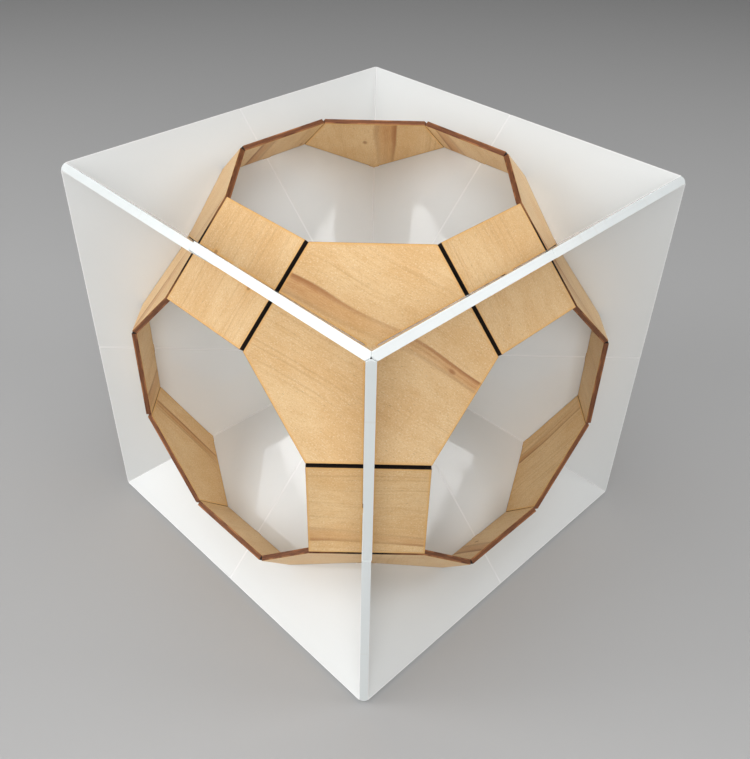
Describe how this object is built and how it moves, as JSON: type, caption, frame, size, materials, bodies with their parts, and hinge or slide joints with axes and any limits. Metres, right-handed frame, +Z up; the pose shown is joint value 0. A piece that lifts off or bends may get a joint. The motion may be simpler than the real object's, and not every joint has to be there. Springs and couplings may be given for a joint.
{
  "type": "take-apart cube puzzle",
  "caption": "Open cube of white acrylic fins in its diagonal planes, threaded through a plywood truncated cuboctahedron shell, parting into corner blocks.",
  "frame": {"origin": "middle of the footprint, on the surface that the cube stands on", "axes": "+Z up, +X right, +Y back; the cube's faces look along the axes"},
  "size_m": [0.1588, 0.1588, 0.1587],
  "materials": {
    "acrylic": "satin white opal acrylic sheet with clean laser-cut edges",
    "plywood": "bare, lightly sanded birch-faced plywood with laser-charred cut edges"
  },
  "bodies": {
    "corner_bottom_front_left": {"hexagon_bottom_front_left": "plywood", "fin_bottom_front_left": "acrylic", "square_bottom_front": "plywood", "fin_bottom_left_front": "acrylic", "square_bottom_left": "plywood", "fin_front_left_bottom": "acrylic", "square_front_left": "plywood"},
    "corner_top_front_left": {"hexagon_top_front_left": "plywood", "fin_top_front_left": "acrylic", "square_top_front": "plywood", "fin_top_left_front": "acrylic", "square_top_left": "plywood", "fin_front_left_top": "acrylic"},
    "corner_bottom_back_left": {"hexagon_bottom_back_left": "plywood", "fin_bottom_back_left": "acrylic", "square_bottom_back": "plywood", "fin_bottom_left_back": "acrylic", "fin_back_left_bottom": "acrylic", "square_back_left": "plywood"},
    "corner_top_back_left": {"hexagon_top_back_left": "plywood", "fin_top_back_left": "acrylic", "square_top_back": "plywood", "fin_top_left_back": "acrylic", "fin_back_left_top": "acrylic"},
    "corner_bottom_front_right": {"hexagon_bottom_front_right": "plywood", "fin_bottom_front_right": "acrylic", "fin_bottom_right_front": "acrylic", "square_bottom_right": "plywood", "fin_front_right_bottom": "acrylic", "square_front_right": "plywood"},
    "corner_top_front_right": {"hexagon_top_front_right": "plywood", "fin_top_front_right": "acrylic", "fin_top_right_front": "acrylic", "square_top_right": "plywood", "fin_front_right_top": "acrylic"},
    "corner_bottom_back_right": {"hexagon_bottom_back_right": "plywood", "fin_bottom_back_right": "acrylic", "fin_bottom_right_back": "acrylic", "fin_back_right_bottom": "acrylic", "square_back_right": "plywood"},
    "corner_top_back_right": {"hexagon_top_back_right": "plywood", "fin_top_back_right": "acrylic", "fin_top_right_back": "acrylic", "fin_back_right_top": "acrylic"}
  },
  "joints": [
    {"name": "lift_top_blocks", "type": "slide", "parent": "corner_bottom_front_left", "child": "corner_top_front_left", "axis": [0, 0, 1], "range_m": [0, 0.018]},
    {"name": "draw_back_blocks", "type": "slide", "parent": "corner_bottom_front_left", "child": "corner_bottom_back_left", "axis": [0, 1, 0], "range_m": [0, 0.018]},
    {"name": "draw_top_back_blocks", "type": "slide", "parent": "corner_top_front_left", "child": "corner_top_back_left", "axis": [0, 1, 0], "range_m": [0, 0.018]},
    {"name": "draw_right_blocks", "type": "slide", "parent": "corner_bottom_front_left", "child": "corner_bottom_front_right", "axis": [1, 0, 0], "range_m": [0, 0.018]},
    {"name": "draw_top_front_right_block", "type": "slide", "parent": "corner_top_front_left", "child": "corner_top_front_right", "axis": [1, 0, 0], "range_m": [0, 0.018]},
    {"name": "draw_bottom_back_right_block", "type": "slide", "parent": "corner_bottom_back_left", "child": "corner_bottom_back_right", "axis": [1, 0, 0], "range_m": [0, 0.018]},
    {"name": "draw_top_back_right_block", "type": "slide", "parent": "corner_top_back_left", "child": "corner_top_back_right", "axis": [1, 0, 0], "range_m": [0, 0.018]}
  ],
  "couplings": [
    {"joint": "draw_top_back_blocks", "follows": "draw_back_blocks", "ratio": 1},
    {"joint": "draw_top_front_right_block", "follows": "draw_right_blocks", "ratio": 1},
    {"joint": "draw_bottom_back_right_block", "follows": "draw_right_blocks", "ratio": 1},
    {"joint": "draw_top_back_right_block", "follows": "draw_right_blocks", "ratio": 1}
  ]
}
